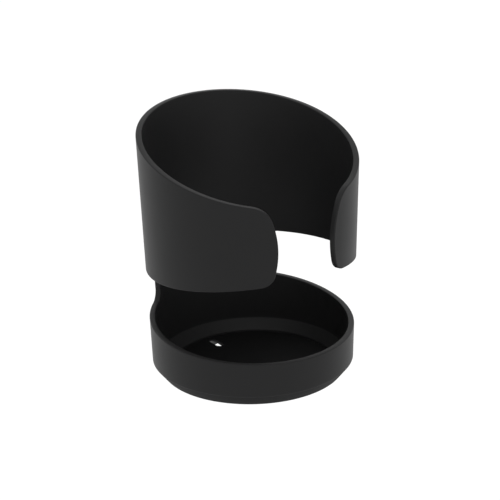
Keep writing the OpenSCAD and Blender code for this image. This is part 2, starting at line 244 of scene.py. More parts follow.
ringNylon = mouldedPlastic("ringNylon", (0.030, 0.095, 0.32), (0.045, 0.130, 0.40), 0.4, 1400, 0.5, 0.2)
print("materials made")


class Shell:
    # vertices that fall on one place are shared, so neighbouring patches join up
    def __init__(self):
        self.points = []
        self.faces = []
        self.index = {}

    def vertex(self, point):
        key = (round(point[0], 7), round(point[1], 7), round(point[2], 7))
        if key not in self.index:
            self.index[key] = len(self.points)
            self.points.append(tuple(point))
        return self.index[key]

    def face(self, *points):
        corners = []
        for point in points:
            i = self.vertex(point)
            if i not in corners:
                corners.append(i)
        if len(corners) > 2:
            self.faces.append(corners)

    def strip(self, first, second, closed=True):
        count = len(first)
        for i in range(count if closed else count - 1):
            k = (i + 1) % count
            self.face(first[i], first[k], second[k], second[i])

    def loft(self, rings, closed=True):
        for first, second in zip(rings, rings[1:]):
            self.strip(first, second, closed)
        return rings[-1]

    def piece(self, name, material, smooth=35):
        mesh = bpy.data.meshes.new(name)
        mesh.from_pydata(self.points, [], self.faces)
        mesh.validate()
        mesh.materials.append(material)
        mesh.shade_smooth()
        mesh.set_sharp_from_angle(angle=math.radians(smooth))
        thing = bpy.data.objects.new(name, mesh)
        bpy.context.scene.collection.objects.link(thing)
        return thing


def settle(thing, node, body):
    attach(thing, body)
    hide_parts(node)


def outward(thing):
    # face directions made to agree and to point out of the solid
    work = bmesh.new()
    work.from_mesh(thing.data)
    bmesh.ops.recalc_face_normals(work, faces=work.faces)
    work.to_mesh(thing.data)
    work.free()
    return thing


def cornerArc(start, end, radius, steps):
    # start and end are the lines into and out of the corner, each a point and a direction
    (ax, ay), (adx, ady) = start
    (bx, by), (bdx, bdy) = end
    turn = adx * bdy - ady * bdx
    along = ((bx - ax) * bdy - (by - ay) * bdx) / turn
    corner = (ax + adx * along, ay + ady * along)
    bend = math.acos(max(-1, min(1, adx * bdx + ady * bdy)))
    back = radius * math.tan(bend / 2)
    side = 1 if turn > 0 else -1
    centre = (corner[0] - adx * back - ady * side * radius, corner[1] - ady * back + adx * side * radius)
    first = math.atan2(corner[1] - ady * back - centre[1], corner[0] - adx * back - centre[0])
    return [(centre[0] + radius * math.cos(first + side * bend * i / steps),
             centre[1] + radius * math.sin(first + side * bend * i / steps)) for i in range(steps + 1)]


def unit(a, b):
    length = math.hypot(b[0] - a[0], b[1] - a[1])
    return ((b[0] - a[0]) / length, (b[1] - a[1]) / length)


def softened(points, radii, steps=6, closed=True):
    # a polyline with each corner rounded
    out = []
    count = len(points)
    for i, point in enumerate(points):
        radius = radii[i] if isinstance(radii, (list, tuple)) else radii
        if radius <= 0 or (not closed and i in (0, count - 1)):
            out.append(point)
            continue
        before, after = points[i - 1], points[(i + 1) % count]
        out += cornerArc((before, unit(before, point)), (point, unit(point, after)), radius, steps)
    return out


def encloses(loop, x, y):
    inside = False
    for (ax, ay), (bx, by) in zip(loop, loop[1:] + loop[:1]):
        if (ay > y) != (by > y) and x < ax + (bx - ax) * (y - ay) / (by - ay):
            inside = not inside
    return inside


def filled(loops, spacing=None):
    # triangles over the area between an outer loop and its holes, as (points, triangles)
    points = []
    edges = []
    for loop in loops:
        start = len(points)
        points += [Vector(p) for p in loop]
        edges += [(start + i, start + (i + 1) % len(loop)) for i in range(len(loop))]
    if spacing:
        tree = KDTree(len(points))
        for i, p in enumerate(points):
            tree.insert((p.x, p.y, 0), i)
        tree.balance()
        low = (min(p.x for p in points), min(p.y for p in points))
        high = (max(p.x for p in points), max(p.y for p in points))
        rows = int((high[1] - low[1]) / spacing) + 1
        columns = int((high[0] - low[0]) / spacing) + 1
        for row in range(1, rows):
            for column in range(1, columns):
                x = low[0] + (column + 0.5 * (row % 2)) * spacing
                y = low[1] + row * spacing
                if tree.find((x, y, 0))[2] > spacing * 0.62:
                    points.append(Vector((x, y)))
    result = delaunay_2d_cdt(points, edges, [], 2, 1e-6)
    kept = []
    for triangle in result[2]:
        middle = sum((result[0][i] for i in triangle), Vector((0, 0))) / len(triangle)
        if not any(encloses(hole, middle.x, middle.y) for hole in loops[1:]):
            kept.append(triangle)
    return result[0], kept


cage = {"radius": 42.6, "taper": 0.0278, "wall": 2.5, "bottomRadius": 38.7, "chamferHeight": 5.1,
        "rimHeight": 22.3, "rimSlope": 0.105, "rimBow": 0.0006,
        "topHeight": 98.78, "topSlope": 0.289, "topBow": 0.0007, "topTurn": 3.5,
        "collarHeight": 46.1, "collarRise": 7.2, "collarPower": 2.65,
        "spineHalf": 40.9, "spineFlare": 0.033, "neckLow": 4.6, "neckHigh": 5.2,
        "gapHalf": 13.1, "gapHeight": 66.5, "endBulge": 38.0, "endTop": 9.5, "endLow": 6.0,
        "edge": 0.4, "edgeSteps": 4, "around": 288, "spacing": 2.2, "joinHeight": 7.0,
        "ledgeHeight": 4.9, "ledgeRadius": 35.0, "ledgeLow": 1.2, "matFloor": -0.1, "belly": 1.2,
        "bellyRadius": 34.9, "floorRadius": 34.6, "drainAt": 29.1, "drainLength": 10.2, "drainWidth": 3.4,
        "drainTurn": 3.5, "drainEdge": 0.3, "drainShort": 2.0}
unrolled = 43.3     # radius at which the wall is laid out flat


def cageOut(z):
    return cage["radius"] + cage["taper"] * z


def cagePoint(s, z, depth):
    angle = s / unrolled
    r = cageOut(z) - depth
    return holderPoint(r * math.sin(angle), r * math.cos(angle), z)


def rimAt(s):
    y = cage["radius"] * math.cos(s / unrolled)
    return cage["rimHeight"] + cage["rimSlope"] * y + cage["rimBow"] * y * y


def topAt(s):
    z = cage["topHeight"]
    for _ in range(4):
        y = cageOut(z) * math.cos(s / unrolled - math.radians(cage["topTurn"]))
        z = cage["topHeight"] + cage["topSlope"] * y - cage["topBow"] * y * y
    return z


def collarLowAt(s):
    # level at the spine, then climbing round to the front
    around = (1 - math.cos(s / unrolled)) / 2
    return cage["collarHeight"] + cage["collarRise"] * around ** cage["collarPower"]


def tangent(curve, s, way):
    slope = (curve(s + 0.1) - curve(s - 0.1)) / 0.2
    length = math.hypot(1, slope)
    return ((s, curve(s)), (way / length, way * slope / length))


def frontPlace(x, z):
    # distance along the wall of a point seen from the front
    return (math.pi - math.asin(x / cageOut(z))) * unrolled


def gapHalfAt(z):
    return cage["gapHalf"] + (z - cage["gapHeight"]) ** 2 / (2 * cage["endBulge"])


def collarEnd(side):
    # the bulging end of the collar and its two corners, seen from the front
    def lower(x):
        return collarLowAt(side * frontPlace(x, 52))

    def upper(x):
        return topAt(side * frontPlace(x, 88))

    def bulge(z):
        lean = (z - cage["gapHeight"]) / cage["endBulge"]
        length = math.hypot(lean, 1)
        return (gapHalfAt(z), z), (lean / length, 1 / length)

    far = gapHalfAt(80) + cage["endTop"]
    lowArc = cornerArc(tangent(lower, far - 5, -1), bulge(lower(far) + 0.8 * cage["endLow"]),
                       cage["endLow"], 10)
    topArc = cornerArc(bulge(upper(far) - 0.6 * cage["endTop"]), tangent(upper, far, 1), cage["endTop"], 16)
    low, high = lowArc[-1][1], topArc[0][1]
    count = int((high - low) / 1.2)
    heights = [low + (high - low) * i / count for i in range(1, count)]
    middle = [(gapHalfAt(z), z) for z in heights]
    return [[(frontPlace(x, z), z) for x, z in part] for part in (lowArc, middle, topArc)]


def halfOutline(side):
    # from the front of the tray's rim, round the spine's edge and the collar's end, to the middle of the top
    step = 2 * math.pi * unrolled / cage["around"]
    neck = math.radians(cage["spineHalf"]) * unrolled
    front = math.pi * unrolled
    rise = unit((0, 0), (cage["spineFlare"], 1))
    neckLine = ((neck, rimAt(neck) + cage["neckLow"]), rise)
    lowNeck = cornerArc(tangent(rimAt, neck + cage["neckLow"], -1), neckLine, cage["neckLow"], 8)

    def lowEdge(s):
        return collarLowAt(side * s)

    highNeck = cornerArc(neckLine, tangent(lowEdge, neck + cage["neckHigh"] + 2, 1), cage["neckHigh"], 10)
    lowEnd, middle, highEnd = collarEnd(side)
    path = []
    for i in range(cage["around"] // 2):
        s = front - i * step
        if s > lowNeck[0][0] + 0.4 * step:
            path.append((s, rimAt(s)))
    path += lowNeck
    for k in (0.25, 0.5, 0.75):
        path.append((lowNeck[-1][0] + (highNeck[0][0] - lowNeck[-1][0]) * k,
                     lowNeck[-1][1] + (highNeck[0][1] - lowNeck[-1][1]) * k))
    path += highNeck
    count = int((lowEnd[0][0] - highNeck[-1][0]) / step)
    for i in range(1, count):
        s = highNeck[-1][0] + (lowEnd[0][0] - highNeck[-1][0]) * i / count
        path.append((s, lowEdge(s)))
    path += lowEnd + middle + highEnd
    count = int(highEnd[-1][0] / step)
    for i in range(1, count):
        s = highEnd[-1][0] * (1 - i / count)
        path.append((s, topAt(side * s)))
    return path


def inwardNormals(path):
    out = []
    for i in range(len(path)):
        before = path[max(i - 1, 0)]
        after = path[min(i + 1, len(path) - 1)]
        dx, dz = unit(before, after)
        out.append((-dz, dx))
    out[0] = (0.0, -1.0)
    out[-1] = (0.0, -1.0)
    return out


def slotLoop(at, length, width, count=10):
    # a round-ended slot that runs out towards the spine
    half = (length - width) / 2
    turn = math.radians(cage["drainTurn"])
    out = []
    for k in range(2):
        centre = at + half * (1 - 2 * k)
        for i in range(count + 1):
            angle = math.pi * (k + i / count)
            x, y = width / 2 * math.cos(angle), centre + width / 2 * math.sin(angle)
            out.append((x * math.cos(turn) - y * math.sin(turn), x * math.sin(turn) + y * math.cos(turn)))
    return out


def circleLoop(radius, count):
    return [(radius * math.sin(2 * math.pi * i / count), radius * math.cos(2 * math.pi * i / count))
            for i in range(count)]


def slottedDisc(shell, radius, z, slot, slotEdge, up, count, spacing=5.0):
    # a flat face with the drain slot's rounded edge rolling into it
    at, length, width = slot
    loops = [circleLoop(radius, count), slotLoop(at, length + 2 * slotEdge, width + 2 * slotEdge)]
    points, triangles = filled(loops, spacing)
    for triangle in triangles:
        corners = [points[i] for i in triangle]
        shell.face(*[holderPoint(p.x, p.y, z) for p in (corners if up else corners[::-1])])
    steps = 4
    rings = []
    for i in range(steps + 1):
        angle = math.pi / 2 * i / steps
        grow = slotEdge * (1 - math.sin(angle))
        drop = slotEdge * (1 - math.cos(angle)) * (-1 if up else 1)
        outline = slotLoop(at, length + 2 * grow, width + 2 * grow)
        rings.append([holderPoint(x, y, z + drop) for x, y in outline])
    return shell.loft(rings)


def ringAt(r, z, count):
    return [holderPoint(x, y, z) for x, y in circleLoop(r, count)]


def buildCage():
    shell = Shell()
    path = halfOutline(1) + [(0.0, topAt(0))] + [(-s, z) for s, z in reversed(halfOutline(-1))]
    normals = inwardNormals(path)
    edge = cage["edge"]

    def inset(distance):
        return [(s + n[0] * distance, z + n[1] * distance) for (s, z), n in zip(path, normals)]

    # the flat layout of the wall, from the join height up to the rounded edges
    front = math.pi * unrolled
    bottom = [(-front + 2 * front * i / cage["around"], cage["joinHeight"])
              for i in range(cage["around"] + 1)]
    upper = inset(edge)
    rows = 4
    seam = [cage["joinHeight"] + (upper[0][1] - cage["joinHeight"]) * i / rows for i in range(1, rows)]
    boundary = bottom + [(front, z) for z in seam] + upper + [(-front, z) for z in reversed(seam)]
    points, triangles = filled([boundary], cage["spacing"])
    for triangle in triangles:
        corners = [points[i] for i in triangle]
        shell.face(*[cagePoint(p.x, p.y, 0) for p in corners])
        shell.face(*[cagePoint(p.x, p.y, cage["wall"]) for p in corners[::-1]])

    # the rounded edge, from the outside face over to the inside face
    steps = cage["edgeSteps"]
    sections = []
    for i in range(steps + 1):
        angle = math.pi / 2 * i / steps
        sections.append((edge * (1 - math.sin(angle)), edge * (1 - math.cos(angle))))
    sections += [(distance, cage["wall"] - depth) for distance, depth in reversed(sections)]
    shell.loft([[cagePoint(s, z, depth) for s, z in inset(distance)] for distance, depth in sections],
               closed=False)

    # the turned lower part: outside with its chamfer, inside with the ledge
    chamfer = cage["chamferHeight"]
    floor = cage["floorRadius"]
    outside = softened([(cageOut(cage["joinHeight"]), cage["joinHeight"]), (cageOut(chamfer), chamfer),
                        (cage["bottomRadius"], 0), (cage["bellyRadius"], -cage["belly"]),
                        (floor, -cage["belly"])], [0, 0.5, 0.5, 0.5, 0], 4, closed=False)
    wallIn = cageOut(cage["ledgeHeight"]) - cage["wall"]
    inside = softened([(cageOut(cage["joinHeight"]) - cage["wall"], cage["joinHeight"]),
                       (wallIn, cage["ledgeHeight"]), (cage["ledgeRadius"], cage["ledgeLow"]),
                       (cage["ledgeRadius"] - 0.1, cage["matFloor"]), (floor, cage["matFloor"])],
                      [0, 0.3, 0.25, 0.15, 0], 4, closed=False)
    for profile in (outside, inside):
        shell.loft([ringAt(r, z, cage["around"]) for r, z in profile])
    slot = (cage["drainAt"], cage["drainLength"], cage["drainWidth"])
    low = slottedDisc(shell, floor, -cage["belly"], slot, cage["drainEdge"], False, cage["around"])
    high = slottedDisc(shell, floor, cage["matFloor"], slot, 0.15, True, cage["around"])
    shell.strip(low, high)
    thing = outward(shell.piece("cupCage", cagePlastic))
    thing.data.materials.append(shadedUndersidePlastic)
    for polygon in thing.data.polygons:         # painted shade: the chamfer and the underside get a duller, less reflective copy of the plastic, so they show less of the bright floor, as if reflecting the shadow under the tray
        place = polygon.center - cupFoot
        height = place.z / mm
        outer = math.hypot(place.x, place.y) / mm > cage["bottomRadius"] - 1.5
        if height < -0.4 or (height < chamfer - 0.2 and outer and polygon.normal.z < -0.2):
            polygon.material_index = 1
    return thing


cageBody = buildCage()
settle(cageBody, "cup_cage", "holder")
print("cage built:", len(cageBody.data.polygons), "faces")


mat = {"radius": 34.75, "low": -0.1, "high": 0.5, "edge": 0.2, "around": 192}


def buildMat():
    shell = Shell()
    radius, low, high, edge = mat["radius"], mat["low"], mat["high"], mat["edge"]
    short = cage["drainShort"]
    slot = (cage["drainAt"] - short / 2, cage["drainLength"] - short, cage["drainWidth"])
    top = slottedDisc(shell, radius - edge, high, slot, edge, True, mat["around"])
    under = slottedDisc(shell, radius - edge, low, slot, 0.1, False, mat["around"])
    shell.strip(top, under)
    profile = softened([(radius - edge, high), (radius, high), (radius, low), (radius - edge, low)],
                       [0, edge * 0.99, 0.1, 0], 4, closed=False)
    shell.loft([ringAt(r, z, mat["around"]) for r, z in profile])
    return outward(shell.piece("trayMat", matRubber))


settle(buildMat(), "tray_mat", "holder")
print("mat built")


def rowPoint(x, y, z):
    # mm in the frame, whose origin is on the desk top
    return Vector((x, y, z)) * mm


def atSwivel(x, y, z):
    return rowPoint(x, swivelAxis.y / mm + y, z)


def hexagon(across, limit=99.0):
    # radius of a hexagon at an angle, held within a circle
    return lambda angle: min(limit, across / 2 / math.cos(angle % (math.pi / 3) - math.pi / 6))


def spin(shell, rows, place, around=72, closed=False):
    # a turned surface; each row is (radius, height), and a radius may be a function of the angle
    rings = []
    for r, z in rows:
        ring = []
        for i in range(around):
            angle = 2 * math.pi * i / around
            radius = r(angle) if callable(r) else r
            ring.append(place(radius * math.cos(angle), radius * math.sin(angle), z))
        rings.append(ring)
    shell.loft(rings + ([rings[0]] if closed else []))


def threadRows(radius, depth, pitch, start, end, steps=8):
    # a screw thread between two heights, run out at both ends
    count = max(2, int(abs(end - start) / pitch * steps))
    rows = []
    for i in range(count + 1):
        z = start + (end - start) * i / count
        runOut = min(1.0, i / steps, (count - i) / steps * 1.6)

        def reach(angle, z=z, runOut=runOut):
            phase = (z / pitch - angle / (2 * math.pi)) % 1.0
            crest = min(1.0, max(0.0, abs(2 * phase - 1) * 1.3 - 0.15))
            return radius - depth + depth * crest * runOut
        rows.append((reach, z))
    return rows


def turned(name, material, solids, around=72, smooth=35):
    # one piece from turned solids, each (rows, place, closed)
    shell = Shell()
    for rows, place, closed in solids:
        spin(shell, rows, place, around, closed)
    return outward(shell.piece(name, material, smooth))


def offsetLoop(loop, distance):
    # moved to the left of its direction of travel, which is into the material
    out = []
    count = len(loop)
    for i, point in enumerate(loop):
        ax, ay = unit(loop[i - 1], point)
        bx, by = unit(point, loop[(i + 1) % count])
        nx, ny = -(ay + by), ax + bx
        scale = 2 / max(0.4, nx * nx + ny * ny)
        out.append((point[0] + nx * distance * scale, point[1] + ny * distance * scale))
    return out


def rimRings(loop, edge, start, way, steps=3):
    # rings that round a loop's rim: from the flat face at height start round to the side wall
    out = []
    for i in range(steps + 1):
        angle = math.pi / 2 * i / steps
        out.append((offsetLoop(loop, edge * (1 - math.sin(angle))),
                    start + way * edge * (1 - math.cos(angle))))
    return out


def face(shell, loops, height, place, spacing=None, relief=None):
    points, triangles = filled(loops, spacing)
    rim = sum(len(loop) for loop in loops)
    placed = []
    for i, p in enumerate(points):
        lift = relief(p.x, p.y) if relief and i >= rim else 0
        placed.append(place(p.x, p.y, height + lift))
    for triangle in triangles:
        shell.face(*[placed[i] for i in triangle])


def slab(shell, loops, low, high, edge, place, spacing=None, relief=None, steps=3):
    # a plate with rounded rims; the first loop runs anticlockwise and any holes clockwise
    for loop in loops:
        rings = rimRings(loop, edge, low, 1, steps) + rimRings(loop, edge, high, -1, steps)[::-1]
        shell.loft([[place(x, y, height) for x, y in ring] for ring, height in rings])
    inner = [offsetLoop(loop, edge) for loop in loops]
    face(shell, inner, low, place, spacing, relief)
    face(shell, inner, high, place, spacing)


def slabPiece(name, material, loops, low, high, edge, place, **more):
    shell = Shell()
    slab(shell, loops, low, high, edge, place, **more)
    return outward(shell.piece(name, material))


def roundedBox(low, high, radius, steps=6):
    corners = [(low[0], low[1]), (high[0], low[1]), (high[0], high[1]), (low[0], high[1])]
    return softened(corners, radius, steps)


def baked(thing):
    # modifiers turned into mesh, with face-weighted normals so that flat faces stay flat
    change = thing.modifiers.new("weighted", "WEIGHTED_NORMAL")
    change.keep_sharp = True
    mesh = bpy.data.meshes.new_from_object(thing.evaluated_get(bpy.context.evaluated_depsgraph_get()))
    thing.modifiers.clear()
    thing.data = mesh
    return thing


def combined(base, others, operation="UNION", smooth=35):
    for other in others:
        change = base.modifiers.new("combine", "BOOLEAN")
        change.operation = operation
        change.object = other
        change.solver = "EXACT"
    bpy.context.view_layer.update()
    mesh = bpy.data.meshes.new_from_object(base.evaluated_get(bpy.context.evaluated_depsgraph_get()))
    base.modifiers.clear()
    base.data = mesh
    for other in others:
        bpy.data.objects.remove(other)
    mesh.shade_smooth()
    mesh.set_sharp_from_angle(angle=math.radians(smooth))
    return base


bracket = {"padHalf": 13.8, "padLow": 25.6, "padHigh": 50.4, "padThick": 4.9, "padCorner": 4.0,
           "padEdge": 1.1, "armHalf": 6.4, "armLow": 27.6, "armHigh": 48.4, "reach": 58.0, "barrel": 10.95,
           "barrelLow": 25.05,
           "barrelHigh": 50.95, "bore": 5.0, "edge": 0.8, "webHalf": 1.6, "webReach": 8.2,
           "grooveIn": 6.3, "grooveOut": 9.7, "grooveDepth": 2.8, "grooveHalf": 72.0}


def buildBracket():
    b = bracket
    padOutline = roundedBox((-b["padHalf"], b["padLow"]), (b["padHalf"], b["padHigh"]), b["padCorner"])
    pad = slabPiece("swivelBracket", bracketPlastic, [padOutline], 0, b["padThick"], b["padEdge"],
                    lambda x, z, out: cagePoint(x, z, -out), spacing=1.6)
    arm = slabPiece("arm", bracketPlastic,
                    [roundedBox((-b["armHalf"], b["armLow"]), (b["armHalf"], b["armHigh"]), 1.6)],
                    cage["radius"] + 3, b["reach"] - 3, 0.1, lambda x, z, y: holderPoint(x, y, z))
    webs = []
    for z in (b["armLow"] + 3.4, b["armHigh"] - 3.4):    # stiffening webs that run out over the pad
        web = [(-b["webReach"], 44.4), (b["webReach"], 44.4), (b["armHalf"] - 0.2, 52),
               (-b["armHalf"] + 0.2, 52)]
        webs.append(slabPiece("web", bracketPlastic, [softened(web, 0.6, 3)], z - b["webHalf"],
                              z + b["webHalf"], 0.5, lambda x, y, up: holderPoint(x, y, up)))
    barrel = turned("barrel", bracketPlastic, [(softened(
        [(b["bore"], b["barrelLow"]), (b["barrel"], b["barrelLow"]), (b["barrel"], b["barrelHigh"]),
         (b["bore"], b["barrelHigh"])], [0.2, b["edge"], b["edge"], 0.2], 4),
        lambda x, y, z: holderPoint(x, b["reach"] + y, z), True)], 96)
    half = math.radians(b["grooveHalf"])
    arc = [math.pi / 2 - half + 2 * half * i / 40 for i in range(41)]
    track = ([(b["grooveOut"] * math.cos(a), b["grooveOut"] * math.sin(a)) for a in arc]
             + [(b["grooveIn"] * math.cos(a), b["grooveIn"] * math.sin(a)) for a in reversed(arc)])
    groove = slabPiece("groove", bracketPlastic, [track], b["barrelHigh"] - b["grooveDepth"],
                       b["barrelHigh"] + 2, 0.05, lambda x, y, z: holderPoint(x, b["reach"] + y, z))
    core = turned("core", bracketPlastic, [([(0, b["barrelLow"] - 3), (b["bore"], b["barrelLow"] - 3),
                                             (b["bore"], b["barrelHigh"] + 3), (0, b["barrelHigh"] + 3)],
                                            lambda x, y, z: holderPoint(x, b["reach"] + y, z), False)], 96)
    return baked(combined(combined(pad, [arm] + webs + [barrel]), [core, groove], "DIFFERENCE"))


settle(buildBracket(), "swivel_bracket", "holder")


def alongSpine(z, start):
    # drawn along +y from a distance off the cup's axis, about height z
    return lambda x, y, out: holderPoint(x, start + out, z + y)


countersunk = {"heights": (31, 45), "sunk": 0.25, "head": 3.6, "headDepth": 1.85, "shank": 1.95,
               "length": 8.5, "socket": 2.0, "socketDepth": 1.1, "pitch": 0.7, "threadDepth": 0.25}


def screwRows():
    c = countersunk
    return ([(0, c["socketDepth"] + 0.3), (hexagon(c["socket"]), c["socketDepth"]),
             (hexagon(c["socket"]), 0.14), (hexagon(c["socket"] * 1.12), 0.0)]
            + softened([(2.2, 0), (c["head"], 0), (c["head"], 0.25), (c["shank"], c["headDepth"]),
                        (c["shank"], c["headDepth"] + 0.6)], [0, 0.12, 0.1, 0.2, 0], 3, closed=False)
            + threadRows(c["shank"], c["threadDepth"], c["pitch"], c["headDepth"] + 0.6, c["length"] - 0.4)
            + [(1.3, c["length"]), (0, c["length"])])


settle(turned("bracketScrews", screwSteel,
              [(screwRows(), alongSpine(z, cageOut(z) - cage["wall"] + countersunk["sunk"]), False)
               for z in countersunk["heights"]]), "bracket_screws", "holder")

insert = {"outer": 2.75, "inner": 2.0, "start": 0.3, "length": 6.4, "edge": 0.2}


def insertRows():
    # knurled along its length, with a smooth waist
    i = insert
    waist = i["length"] / 2

    def knurled(angle):
        return i["outer"] - 0.12 + 0.12 * math.cos(36 * angle)
    return [(i["inner"], 0), (i["outer"] - 0.3, 0), (knurled, i["edge"]), (knurled, waist - 0.5),
            (i["outer"] - 0.4, waist - 0.3), (i["outer"] - 0.4, waist + 0.3), (knurled, waist + 0.5),
            (knurled, i["length"] - i["edge"]), (i["outer"] - 0.3, i["length"]), (i["inner"], i["length"])]


settle(turned("bracketInserts", insertBrass,
              [(insertRows(), alongSpine(z, cageOut(z) + insert["start"]), True)
               for z in countersunk["heights"]], 144), "bracket_inserts", "holder")

bush = {"bore": 3.06, "sleeve": 4.98, "flange": 5.95, "flangeThick": 0.88, "face": 13.0, "inner": 1.1,
        "middle": -28.0}


def bushRows(way):
    b = bush
    profile = [(b["bore"], b["inner"]), (b["sleeve"], b["inner"]), (b["sleeve"], b["face"]),
               (b["flange"], b["face"]),
               (b["flange"], b["face"] + b["flangeThick"]), (b["bore"], b["face"] + b["flangeThick"])]
    return [(r, b["middle"] + way * z) for r, z in softened(profile, [0.2, 0.4, 0.05, 0.15, 0.25, 0.25], 3)]


settle(turned("swivelBushes", bushNylon, [(bushRows(way), atSwivel, True) for way in (1, -1)], 96),
       "swivel_bushes", "holder")
print("holder's hardware built")

clamp = {"half": 11.45, "edge": 1.0, "back": -31.95, "end": 17.95, "top": 9.95, "low": -60.45,
         "throat": -24.0, "throatTop": 2.0, "throatLow": -50.5, "corner": 7.0, "inCorner": 4.0, "lip": 0.9,
         "pocketInset": 2.6, "pocketDepth": 4.4, "pocketEdge": 0.5,
         "boss": 9.95, "bossLow": -63.45, "bossFillet": 1.2, "bushOuter": 6.5, "bushCollar": 8.5,
         "collarDepth": 1.5,
         "ear": 11.4, "ears": ((-48.95, -42.0), (-14.0, -7.05)), "earEdge": 0.9, "earRoot": -30.0,
         "fillet": 1.8, "bore": 3.05}


def framePath(inset):
    c = clamp
    points = [(c["end"] - inset, c["throatTop"] + inset), (c["end"] - inset, c["top"] - inset),
              (c["back"] + inset, c["top"] - inset), (c["back"] + inset, c["low"] + inset),
              (c["end"] - inset, c["low"] + inset), (c["end"] - inset, c["throatLow"] - inset),
              (c["throat"] - inset, c["throatLow"] - inset), (c["throat"] - inset, c["throatTop"] + inset)]
    lip = max(0.5, c["lip"] - inset)
    tip = c["corner"] - 1 if inset == 0 else 1.9
    outer = c["corner"] - inset
    lowTip = c["corner"] if inset == 0 else 3.6
    inner = c["inCorner"] + inset
    radii = [lip, tip, outer, outer, lowTip, lip, inner, inner]
    return softened(points, radii, 8)


def buildFrameBody():
    # the C with a rounded rim, and a pocket sunk in each side
    c = clamp
    shell = Shell()
    outline = framePath(0)
    pocket = framePath(c["pocketInset"])[::-1]      # clockwise, so that its left is the rib round it
    edge = c["edge"]
    for side in (-1, 1):
        def place(y, z, height, side=side):
            return rowPoint(side * height, y, z)
        rings = rimRings(outline, edge, c["half"], -1, 4) + [(outline, 0)]
        shell.loft([[place(y, z, height) for y, z in ring] for ring, height in rings])
        floor = c["half"] - c["pocketDepth"]
        draft = offsetLoop(pocket, -0.25)
        rings = rimRings(pocket, c["pocketEdge"], c["half"], -1, 3)
        rings += [(draft, floor + 0.5), (offsetLoop(draft, -0.15), floor + 0.15),
                  (offsetLoop(draft, -0.5), floor)]
        shell.loft([[place(y, z, height) for y, z in ring] for ring, height in rings])
        face(shell, [offsetLoop(outline, edge), offsetLoop(pocket, c["pocketEdge"])], c["half"], place)
        face(shell, [offsetLoop(draft, -0.5)[::-1]], floor, place)
    return outward(shell.piece("clampFrame", framePaint))


def earOutline():
    c = clamp
    r = c["ear"]
    arc = [(r * math.cos(a), swivelAxis.y / mm + r * math.sin(a))
           for a in [math.pi + math.pi * i / 36 for i in range(37)]]
    return arc + [(r, c["earRoot"]), (-r, c["earRoot"])]


def filletBar(y, z, up, radius):
    # a bar whose hollow face fills the corner between an ear and the web
    way = 1 if up else -1
    arc = [(y - radius + radius * math.sin(a), z + way * (radius - radius * math.cos(a)))
           for a in [math.pi / 2 * i / 8 for i in range(9)]]
    loop = arc + [(y + 0.6, z + way * radius), (y + 0.6, z - way * 0.6), (y - radius, z - way * 0.6)]
    if not up:
        loop = loop[::-1]
    return slabPiece("fillet", framePaint, [loop], -clamp["ear"] + 0.6, clamp["ear"] - 0.6, 0.05,
                     lambda a, b, x: rowPoint(x, a, b))


def buildFrame():
    c = clamp
    parts = []
    for low, high in c["ears"]:
        parts.append(slabPiece("ear", framePaint, [earOutline()], low, high, c["earEdge"], rowPoint,
                               steps=4))
        parts.append(filletBar(c["back"], low, False, c["fillet"]))
        parts.append(filletBar(c["back"], high, True, c["fillet"]))
    r, f = c["boss"], c["bossFillet"]
    turns = [math.pi / 2 * i / 5 for i in range(6)]
    neck = [(r + f - f * math.cos(a), c["low"] - f + f * math.sin(a)) for a in turns]
    rows = ([(0, c["bossLow"])] + softened([(4, c["bossLow"]), (r, c["bossLow"]), (r, c["low"] - f)],
                                           [0, 0.7, 0], 4, closed=False)
            + neck + [(r + f, c["low"] + 1.5), (r, c["low"] + 2.5), (r, c["throatLow"] - 0.6),
                      (0, c["throatLow"] - 0.6)])
    parts.append(turned("boss", framePaint, [(rows, rowPoint, False)], 96))
    bore = turned("bore", framePaint, [([(0, c["bossLow"] - 2), (c["bushCollar"] + 0.1, c["bossLow"] - 2),
                                         (c["bushCollar"] + 0.1, c["bossLow"] + c["collarDepth"]),
                                         (c["bushOuter"] + 0.05, c["bossLow"] + c["collarDepth"]),
                                         (c["bushOuter"] + 0.05, c["throatLow"] + 2),
                                         (0, c["throatLow"] + 2)],
                                        rowPoint, False)], 96)
    pivot = turned("pivot", framePaint,
                   [([(0, -52), (c["bore"], -52), (c["bore"], -4), (0, -4)], atSwivel, False)])
    return baked(combined(combined(buildFrameBody(), parts), [bore, pivot], "DIFFERENCE"))


settle(buildFrame(), "clamp_frame", "clamp")
print("clamp frame built")

pads = {"edge": 0.45, "spacing": 0.55, "pitch": 2.4, "depth": 0.45}


def ribbed(u, v):
    # rounded grooves across the pad's bearing face
    wave = math.cos(2 * math.pi * v / pads["pitch"])
    return pads["depth"] * max(0.0, wave) ** 1.5


def buildPads():
    upper = slabPiece("upperJawPad", padRubber, [roundedBox((-9.45, -16.95), (9.45, 15.95), 4)], 0, 2,
                      pads["edge"], rowPoint, spacing=pads["spacing"], relief=ribbed)
    edgeOutline = roundedBox((-8.45, -39.95), (8.45, -6.05), 3)
    back = slabPiece("deskEdgePad", padRubber, [edgeOutline], 0, 1.5, pads["edge"],
                     lambda x, z, deep: rowPoint(x, -22.5 - deep, z), spacing=pads["spacing"], relief=ribbed)
    rows = [(0, -27), (11.2, -27), (11.45, -26.7), (11.45, -25.4), (11.3, -25.1), (11.1, -25.0)]
    r = 10.6
    while r > 2:                                    # ring grooves in the face that meets the desk
        rows += [(r, -25.0), (r - 0.3, -25.25), (r - 0.6, -25.4), (r - 0.9, -25.25), (r - 1.2, -25.0)]
        r -= 2.1
    lower = turned("lowerJawPad", padRubber, [(rows + [(0, -25.0)], rowPoint, False)], 96, 50)
    return upper, back, lower


upperPad, edgePad, lowerPad = buildPads()
settle(upperPad, "upper_jaw_pad", "clamp")
settle(edgePad, "desk_edge_pad", "clamp")
settle(lowerPad, "lower_jaw_pad", "foot")

